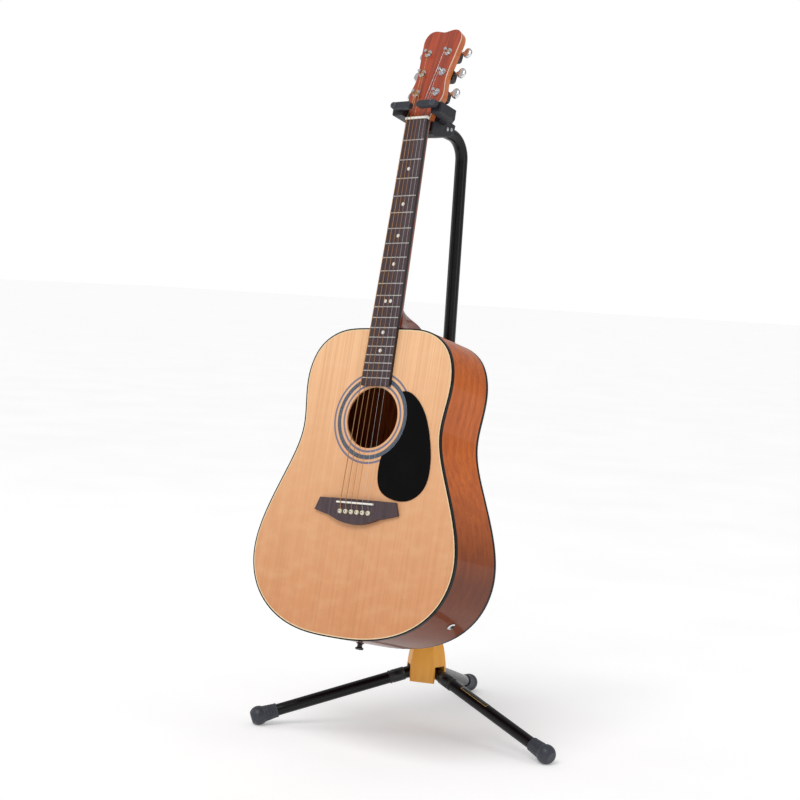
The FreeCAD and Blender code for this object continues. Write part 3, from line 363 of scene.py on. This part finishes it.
def string_metal(tree):
    """Bronze windings on the four bass strings, plain steel on the two treble ones."""
    x, y, _ = split(tree, place_in(tree, GUITAR))
    half = spread(tree, y, 0, 650, 28.0, 18.0)
    treble = spread(tree, math_node(tree, "DIVIDE", x, half), 0.38, 0.42)
    return mixed(tree, treble, colour(188, 140, 92), colour(206, 206, 204))


def string_winding(tree):
    """Fine ridges round the strings, as wound wire has."""
    vector = place_in(tree, GUITAR)
    turns = math_node(tree, "SINE", math_node(tree, "MULTIPLY", split(tree, vector)["Y"], 12.0))
    return bump(tree, spread(tree, turns, -1, 1), 0.06)


def pearl(tree):
    """White shell with soft swirls."""
    vector = place_in(tree, GUITAR, (0.35, 0.2, 0.35))
    swirl = spread(tree, noise(tree, vector, 1.0, 3, 0.6, 2.0), 0.35, 0.7)
    return mixed(tree, swirl, colour(226, 224, 214), colour(246, 246, 240))


def hub_plastic(tree):
    """Mustard plastic with soft vertical flow lines, and painted shade darkening it low down."""
    across = place_in(tree, Matrix.Translation(HUB), (0.06, 0.06, 0.006))
    flow = spread(tree, noise(tree, across, 1.0, 2), 0.3, 0.7)
    base = mixed(tree, flow, colour(236, 160, 52), colour(248, 178, 70))
    z = split(tree, place_in(tree, Matrix.Translation(HUB)))["Z"]
    # painted shade: the hub darkens towards its bottom
    return mixed(tree, spread(tree, z, 112, 82, 0.0, 0.2), base, colour(184, 118, 42))


def foam_cells(tree):
    """The distance from the middle of each foam cell, about a millimetre wide."""
    vector = place_in(tree, MAST)
    return add_node(tree, "ShaderNodeTexVoronoi", {"Vector": vector, "Scale": 1.1}).outputs["Distance"]


def foam_colour(tree):
    """Black foam, with painted shade darkening its pits."""
    # painted shade: darker towards the middle of each cell, in the pits
    return mixed(tree, spread(tree, foam_cells(tree), 0.15, 0.6), colour(14, 14, 15), colour(44, 44, 47))


def foam_bump(tree):
    """The foam's open cells as relief."""
    return bump(tree, foam_cells(tree), 0.5, 0.8)


def grooved_rubber(tree):
    """Fine lengthwise grooves along the gates, over a soft skin."""
    y = split(tree, place_in(tree, GUITAR))["Y"]
    grooves = spread(tree, math_node(tree, "SINE", math_node(tree, "MULTIPLY", y, 3.4)), -0.6, 0.6)
    return bump(tree, grooves, 0.35, 0.6)


def foot_rubber(where):
    """Dark blue-grey rubber with lengthwise ribs round the foot's neck."""
    leg = LEGS[f"leg_{where}"]

    def ribs(tree):
        x, y, z = split(tree, place_in(tree, leg))
        turn = math_node(tree, "MULTIPLY", math_node(tree, "ARCTAN2", z, y), 12.0)
        ridge = spread(tree, math_node(tree, "SINE", turn), -0.5, 0.5)
        return bump(tree, math_node(tree, "MULTIPLY", ridge, spread(tree, x, 282, 270)), 0.7, 0.8)

    return finish_material(f"foot_rubber_{where}", speckle(colour(36, 39, 48), colour(56, 60, 70), 2.0),
                           worn(0.36, 0.5, 6), ribs)


def plain_materials():
    """Every plastic, rubber and metal finish, by the nodes that wear it."""
    posts = tuple(f"tuner_post_{i}" for i in range(1, 7))
    buttons = tuple(f"tuner_button_{i}" for i in range(1, 7))
    black, soft_black = colour(4, 4, 6), colour(10, 10, 13)
    paint = finish_material("black_gloss_paint", speckle(colour(4, 4, 7), colour(8, 8, 12), 30),
                            worn(0.16, 0.26), skin(1.1, 0.02), Specular_IOR_Level=0.3)
    return {
        ("top_binding", "back_binding"):
            finish_material("black_binding", speckle(black, soft_black, 9), worn(0.18, 0.3), skin(2, 0.02),
                            Specular_IOR_Level=0.2),
        ("top_purfling",):
            finish_material("cream_line", speckle(colour(244, 222, 184), colour(232, 204, 160), 5), 0.3),
        ("fret_markers",): finish_material("pearl_dot", pearl, 0.22),
        ("bridge_pins",): finish_material("pin_ivory", pin_ivory, 0.28),
        ("nut", "saddle"):
            finish_material("bone", speckle(colour(252, 250, 244), colour(240, 234, 220), 3), 0.32),
        ("rosette",): finish_material("rosette_inlay", rosette_rings, 0.25, None, Coat_Weight=0.6),
        ("pickguard",): finish_material("pickguard_film", speckle(colour(3, 3, 4), colour(7, 7, 9), 40),
                                        worn(0.12, 0.2, 30), skin(6, 0.03), Specular_IOR_Level=0.12),
        ("frets",): finish_material("fret_wire", speckle(colour(196, 194, 190), colour(222, 220, 216), 2),
                                    worn(0.2, 0.34, 3), Metallic=1.0),
        ("strings",): finish_material("string_wire", string_metal, 0.3, string_winding, Metallic=0.9),
        ("tuner_bushings", "output_jack", "yoke_screws") + posts + buttons:
            finish_material("chrome_plate", speckle(colour(214, 216, 220), colour(232, 233, 236), 6),
                            worn(0.06, 0.14, 5), skin(3, 0.02), Metallic=1.0),
        ("tuner_housings", "end_pin", "truss_rod"):
            finish_material("dark_plate", speckle(colour(58, 56, 60), colour(84, 82, 86), 4),
                            worn(0.22, 0.4, 4), skin(2, 0.03), Metallic=0.8),
        ("leg_back", "leg_left", "leg_right", "lower_mast", "upper_mast", "backrest_bar"): paint,
        ("leg_pins",): finish_material("rivet_steel", speckle(colour(96, 94, 92), colour(150, 148, 146), 2),
                                       worn(0.25, 0.45, 2), Metallic=1.0),
        ("leg_hub",): finish_material("mustard_plastic", hub_plastic, worn(0.34, 0.48, 8), skin(1.2, 0.08)),
        ("height_clutch", "clutch_lever", "backrest_bracket", "yoke_cradle", "yoke_head"):
            finish_material("moulded_black", speckle(colour(20, 21, 27), colour(32, 34, 42), 1.5),
                            worn(0.42, 0.58, 6), skin(0.9, 0.12)),
        ("gate_left", "gate_right"):
            finish_material("gate_rubber", speckle(colour(34, 37, 43), colour(48, 52, 60), 2.5),
                            worn(0.4, 0.55, 5), grooved_rubber),
        **{(f"foot_{where}",): foot_rubber(where) for where in ("back", "left", "right")},
    }


def dress(table):
    """Give every CAD node its material, through its object's slots."""
    for nodes, material in table.items():
        for name in nodes:
            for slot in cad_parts[name].material_slots:
                slot.link = "OBJECT"
                slot.material = material


# ---------------------------------------------------------------- added pieces


def new_piece(name, mesh, matrix, material, body):
    """A smooth-shaded mesh drawn in a frame's millimetres, riding on a body."""
    mesh.transform(Matrix.Scale(MM, 4) @ matrix)
    mesh.materials.append(material)
    mesh.shade_smooth()
    made = bpy.data.objects.new(name, mesh)
    bpy.context.scene.collection.objects.link(made)
    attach(made, body)
    return made


def lathe(profile, around=48):
    """A mesh turned about z from (radius, height) points; a zero radius closes an end."""
    spots, faces, rings = [], [], []
    for radius, height in profile:
        count = around if radius > 0 else 1
        rings.append(range(len(spots), len(spots) + count))
        for step in range(count):
            angle = math.tau * step / around
            spots.append((radius * math.cos(angle), radius * math.sin(angle), height))
    for lower, upper in zip(rings, rings[1:]):
        for step in range(around):
            after = (step + 1) % around
            low = [lower[step % len(lower)], lower[after % len(lower)]]
            high = [upper[after % len(upper)], upper[step % len(upper)]]
            faces.append(list(dict.fromkeys(low + high)))
    mesh = bpy.data.meshes.new("lathe")
    mesh.from_pydata(spots, [], faces)
    mesh.validate()
    return mesh


FOAM_LONG, FOAM_RADIUS, FOAM_BORE = 66.0, 15.0, 6.3


def add_foam_rolls():
    """Two foam sleeves on the backrest's crossbar, a little fuller in the middle."""
    material = finish_material("backrest_foam", foam_colour, 0.92, foam_bump, Sheen_Weight=0.15)
    low, high = (Vector(corner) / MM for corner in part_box("backrest_pads"))
    middle = (low + high) / 2
    length, radius, bore = FOAM_LONG, FOAM_RADIUS, FOAM_BORE
    profile = [(bore, 1.2), (bore + 1.5, 0.4), (radius - 4.2, 0.0), (radius - 1.9, 0.7), (radius - 0.7, 2.4)]
    steps = 14
    for step in range(steps + 1):
        along = 4 + (length - 8) * step / steps
        swell = math.sin(math.pi * step / steps) * 0.45 + math.sin(step * 2.3) * 0.10
        profile.append((radius - 0.5 + swell, along))
    profile += [(radius - 0.7, length - 2.4), (radius - 1.9, length - 0.7), (radius - 4.2, length),
                (bore + 1.5, length - 0.4), (bore, length - 1.2), (bore, 1.2)]
    for name, start in (("foam_roll_bass", low.x), ("foam_roll_treble", high.x - length)):
        spot = Matrix.Translation(Vector((start, middle.y, middle.z))) @ turned(90, "Y")
        roll = new_piece(name, lathe(profile), spot, material, "backrest")
        smooth = roll.modifiers.new("smooth", "SUBSURF")
        smooth.render_levels = 2
        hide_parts("backrest_pads")


WINDING_TURNS, WINDING_STEPS, WIRE_SIDES = 3, 24, 8
WINDING_BELOW_TIP = 7.6


def add_string_windings():
    """Three turns of each string round its tuner post."""
    bronze = finish_material("winding_bronze", speckle(colour(176, 132, 88), colour(206, 164, 112), 1.5), 0.3,
                             Metallic=0.9)
    steel = finish_material("winding_steel", speckle(colour(196, 196, 198), colour(222, 222, 224), 1.5), 0.25,
                            Metallic=0.95)
    for index, wire in enumerate(STRING_RADII):
        rank = index if index < 3 else 5 - index
        side = -1 if index < 3 else 1
        centre = Vector((side * POST_X, POST_FIRST + rank * POST_PITCH, 0.0))
        turns, steps, around = WINDING_TURNS, WINDING_STEPS, WIRE_SIDES
        coil = POST_RADIUS + wire + 0.05
        spots, faces = [], []
        for step in range(turns * steps + 1):
            angle = math.tau * step / steps
            outward = Vector((math.cos(angle), math.sin(angle), 0.0))
            height = POST_HIGH - WINDING_BELOW_TIP + step / steps * (2 * wire + 0.12)
            spine = outward * coil + Vector((0.0, 0.0, height))
            for part in range(around):
                turn = math.tau * part / around
                lift = Vector((0.0, 0.0, wire * math.sin(turn)))
                spots.append(spine + outward * (wire * math.cos(turn)) + lift)
        for ring in range(turns * steps):
            for part in range(around):
                after = (part + 1) % around
                low, high = ring * around, (ring + 1) * around
                faces.append((low + part, low + after, high + after, high + part))
        last = turns * steps * around
        faces += [tuple(range(around))[::-1], tuple(range(last, last + around))]
        mesh = bpy.data.meshes.new("winding")
        mesh.from_pydata(spots, [], faces)
        material = bronze if index < 4 else steel
        new_piece(f"string_winding_{index + 1}", mesh, HEADSTOCK @ Matrix.Translation(centre), material,
                  f"post_{index + 1}")


GATE_PIVOT_X, GATE_PIVOT_Y, GATE_TOP = 40.0, 671.0, 23.4


def add_gate_caps():
    """The domed cap over each gate's pivot, with a dark recess in its middle."""
    cap = finish_material("gate_cap", speckle(colour(52, 56, 64), colour(70, 75, 84), 2), worn(0.35, 0.5, 4),
                          skin(0.8, 0.05))
    profile = [(5.6, 0.0), (5.6, 0.7), (5.2, 1.3), (4.4, 1.6), (2.3, 1.75), (2.1, 1.6),
               (1.9, 0.6), (0.0, 0.5)]
    for name, side in (("gate_left", -1), ("gate_right", 1)):
        spot = GUITAR @ Matrix.Translation(Vector((side * GATE_PIVOT_X, GATE_PIVOT_Y, GATE_TOP)))
        new_piece(f"{name}_cap", lathe(profile), spot, cap, name)


def add_leg_collars():
    """The moulded sleeve at each leg's inner end, with a groove where the tube starts."""
    moulded = finish_material("leg_collar_black", speckle(colour(12, 12, 13), colour(20, 20, 22), 3),
                              worn(0.25, 0.4, 8), skin(1.5, 0.05))
    inner, outer = LEG_RADIUS - 0.2, LEG_RADIUS + 1.3
    profile = [(inner, 21.0), (outer - 0.8, 21.0), (outer, 22.0), (outer, 44.0), (outer - 0.9, 44.6),
               (outer - 0.9, 45.8), (outer, 46.4), (outer, 49.0), (outer - 0.8, 50.0), (inner, 50.0)]
    for name, matrix in LEGS.items():
        new_piece(f"{name}_collar", lathe(profile), matrix @ turned(90, "Y"), moulded, name)


HOUSING_BACK = -25.0


def add_housing_screws():
    """A small domed screw in the back of each tuner housing."""
    steel = finish_material("screw_steel", speckle(colour(150, 150, 152), colour(190, 190, 192), 1.5), 0.22,
                            Metallic=1.0)
    profile = [(2.3, 0.0), (2.3, -0.4), (1.8, -0.9), (1.0, -1.15), (0.35, -1.2), (0.3, -0.9),
               (0.0, -0.9)]
    for index in range(6):
        rank = index if index < 3 else 5 - index
        side = -1 if index < 3 else 1
        centre = Vector((side * (POST_X + 2), POST_FIRST + rank * POST_PITCH, HOUSING_BACK))
        spot = HEADSTOCK @ Matrix.Translation(centre)
        new_piece(f"housing_screw_{index + 1}", lathe(profile[::-1], 32), spot, steel, "guitar")


LABEL_START, LABEL_END, LABEL_HALF = 74.0, 140.0, 6.4


def label_colour(tree):
    """A blank dark panel inside a thin gold border; the label carries no lettering."""
    x, y, _ = split(tree, place_in(tree, LEGS["leg_right"]))
    edge_x = math_node(tree, "MINIMUM", math_node(tree, "SUBTRACT", x, LABEL_START),
                       math_node(tree, "SUBTRACT", LABEL_END, x))
    edge_y = math_node(tree, "SUBTRACT", LABEL_HALF, math_node(tree, "ABSOLUTE", y))
    edge = math_node(tree, "MINIMUM", edge_x, edge_y)
    gold = speckle(colour(196, 150, 70), colour(226, 184, 104), 2)(tree)
    return mixed(tree, spread(tree, edge, 0.6, 0.8), gold, colour(20, 19, 20))


def add_leg_label():
    """A thin printed wrap on top of the right leg."""
    material = finish_material("leg_label_print", label_colour, worn(0.25, 0.35, 5), Coat_Weight=0.3)
    radius, steps, lengths = LEG_RADIUS + 0.12, 16, 12
    half = math.asin(LABEL_HALF / radius)
    spots, faces = [], []
    for place in range(lengths + 1):
        x = LABEL_START + (LABEL_END - LABEL_START) * place / lengths
        for step in range(steps + 1):
            angle = half * (2 * step / steps - 1)
            spots.append((x, radius * math.sin(angle), radius * math.cos(angle)))
    for place in range(lengths):
        for step in range(steps):
            corner = place * (steps + 1) + step
            faces.append((corner, corner + steps + 1, corner + steps + 2, corner + 1))
    mesh = bpy.data.meshes.new("label")
    mesh.from_pydata(spots, [], faces)
    label = new_piece("leg_label", mesh, LEGS["leg_right"], material, "leg_right")
    film = label.modifiers.new("film", "SOLIDIFY")
    film.thickness = 0.1 * MM


# ---------------------------------------------------------------- stage, light and camera

CAMERA_PLACE = (1.7289, -2.4991, 0.7756)
CAMERA_AZIMUTH, CAMERA_ELEVATION, CAMERA_ROLL = 36.64, 3.78, 3.09
CAMERA_LENS, SENSOR = 79.27, 36.0
SURROUND_LIGHT = 0.5


def add_floor():
    """A wide pale floor."""
    mesh = bpy.data.meshes.new("floor")
    reach = 60.0
    mesh.from_pydata([(-reach, -reach, 0), (reach, -reach, 0), (reach, reach, 0), (-reach, reach, 0)], [],
                     [(0, 1, 2, 3)])
    floor = bpy.data.objects.new("floor", mesh)
    bpy.context.scene.collection.objects.link(floor)
    mottle = speckle(colour(250, 250, 250), colour(246, 246, 246), 400)
    pale = finish_material("pale_floor", mottle, 0.85, None, Specular_IOR_Level=0.1, Emission_Strength=0.22,
                           Emission_Color=(1.0, 1.0, 1.0, 1.0))
    mesh.materials.append(pale)


def add_lamp(kind, name, energy, place, aim, **settings):
    """A lamp at a place, turned towards a point."""
    data = bpy.data.lights.new(name, kind)
    data.energy = energy
    for key, value in settings.items():
        setattr(data, key, value)
    lamp = bpy.data.objects.new(name, data)
    lamp.location = place
    lamp.rotation_euler = (Vector(aim) - Vector(place)).to_track_quat("-Z", "Y").to_euler()
    bpy.context.scene.collection.objects.link(lamp)


def add_light():
    """Soft studio light: a broad sun, two soft boxes and a white surround."""
    middle = (0.0, 0.0, 0.6)
    add_lamp("SUN", "broad_key", 1.2, (0.4, -3.0, 4.6), middle, angle=math.radians(30))
    add_lamp("AREA", "left_box", 9, (-3.0, -0.9, 1.6), middle, shape="RECTANGLE", size=0.8, size_y=2.0)
    add_lamp("AREA", "right_box", 7, (2.9, 0.1, 1.5), middle, shape="RECTANGLE", size=0.5, size_y=2.2)
    world = bpy.data.worlds.new("studio")
    world.use_nodes = True
    bpy.context.scene.world = world
    tree = world.node_tree
    seen = add_node(tree, "ShaderNodeLightPath").outputs["Is Camera Ray"]
    background = tree.nodes["Background"]
    background.inputs["Color"].default_value = (1.0, 1.0, 1.0, 1.0)
    plug(tree, background.inputs["Strength"], spread(tree, seen, 0.0, 1.0, SURROUND_LIGHT, 1.0))


def add_camera():
    """The camera at the photograph's viewing angle."""
    data = bpy.data.cameras.new("camera")
    data.lens = CAMERA_LENS
    data.sensor_width = SENSOR
    camera = bpy.data.objects.new("camera", data)
    upright = Euler((math.radians(90 - CAMERA_ELEVATION), 0.0, math.radians(CAMERA_AZIMUTH)))
    camera.matrix_world = (Matrix.Translation(CAMERA_PLACE) @ upright.to_matrix().to_4x4()
                           @ turned(CAMERA_ROLL, "Z"))
    bpy.context.scene.collection.objects.link(camera)
    bpy.context.scene.camera = camera


dress(wood_materials())
dress(plain_materials())
add_foam_rolls()
add_string_windings()
add_gate_caps()
add_leg_collars()
add_housing_screws()
add_leg_label()
add_floor()
add_light()
add_camera()
bpy.context.scene.view_settings.view_transform = "Standard"
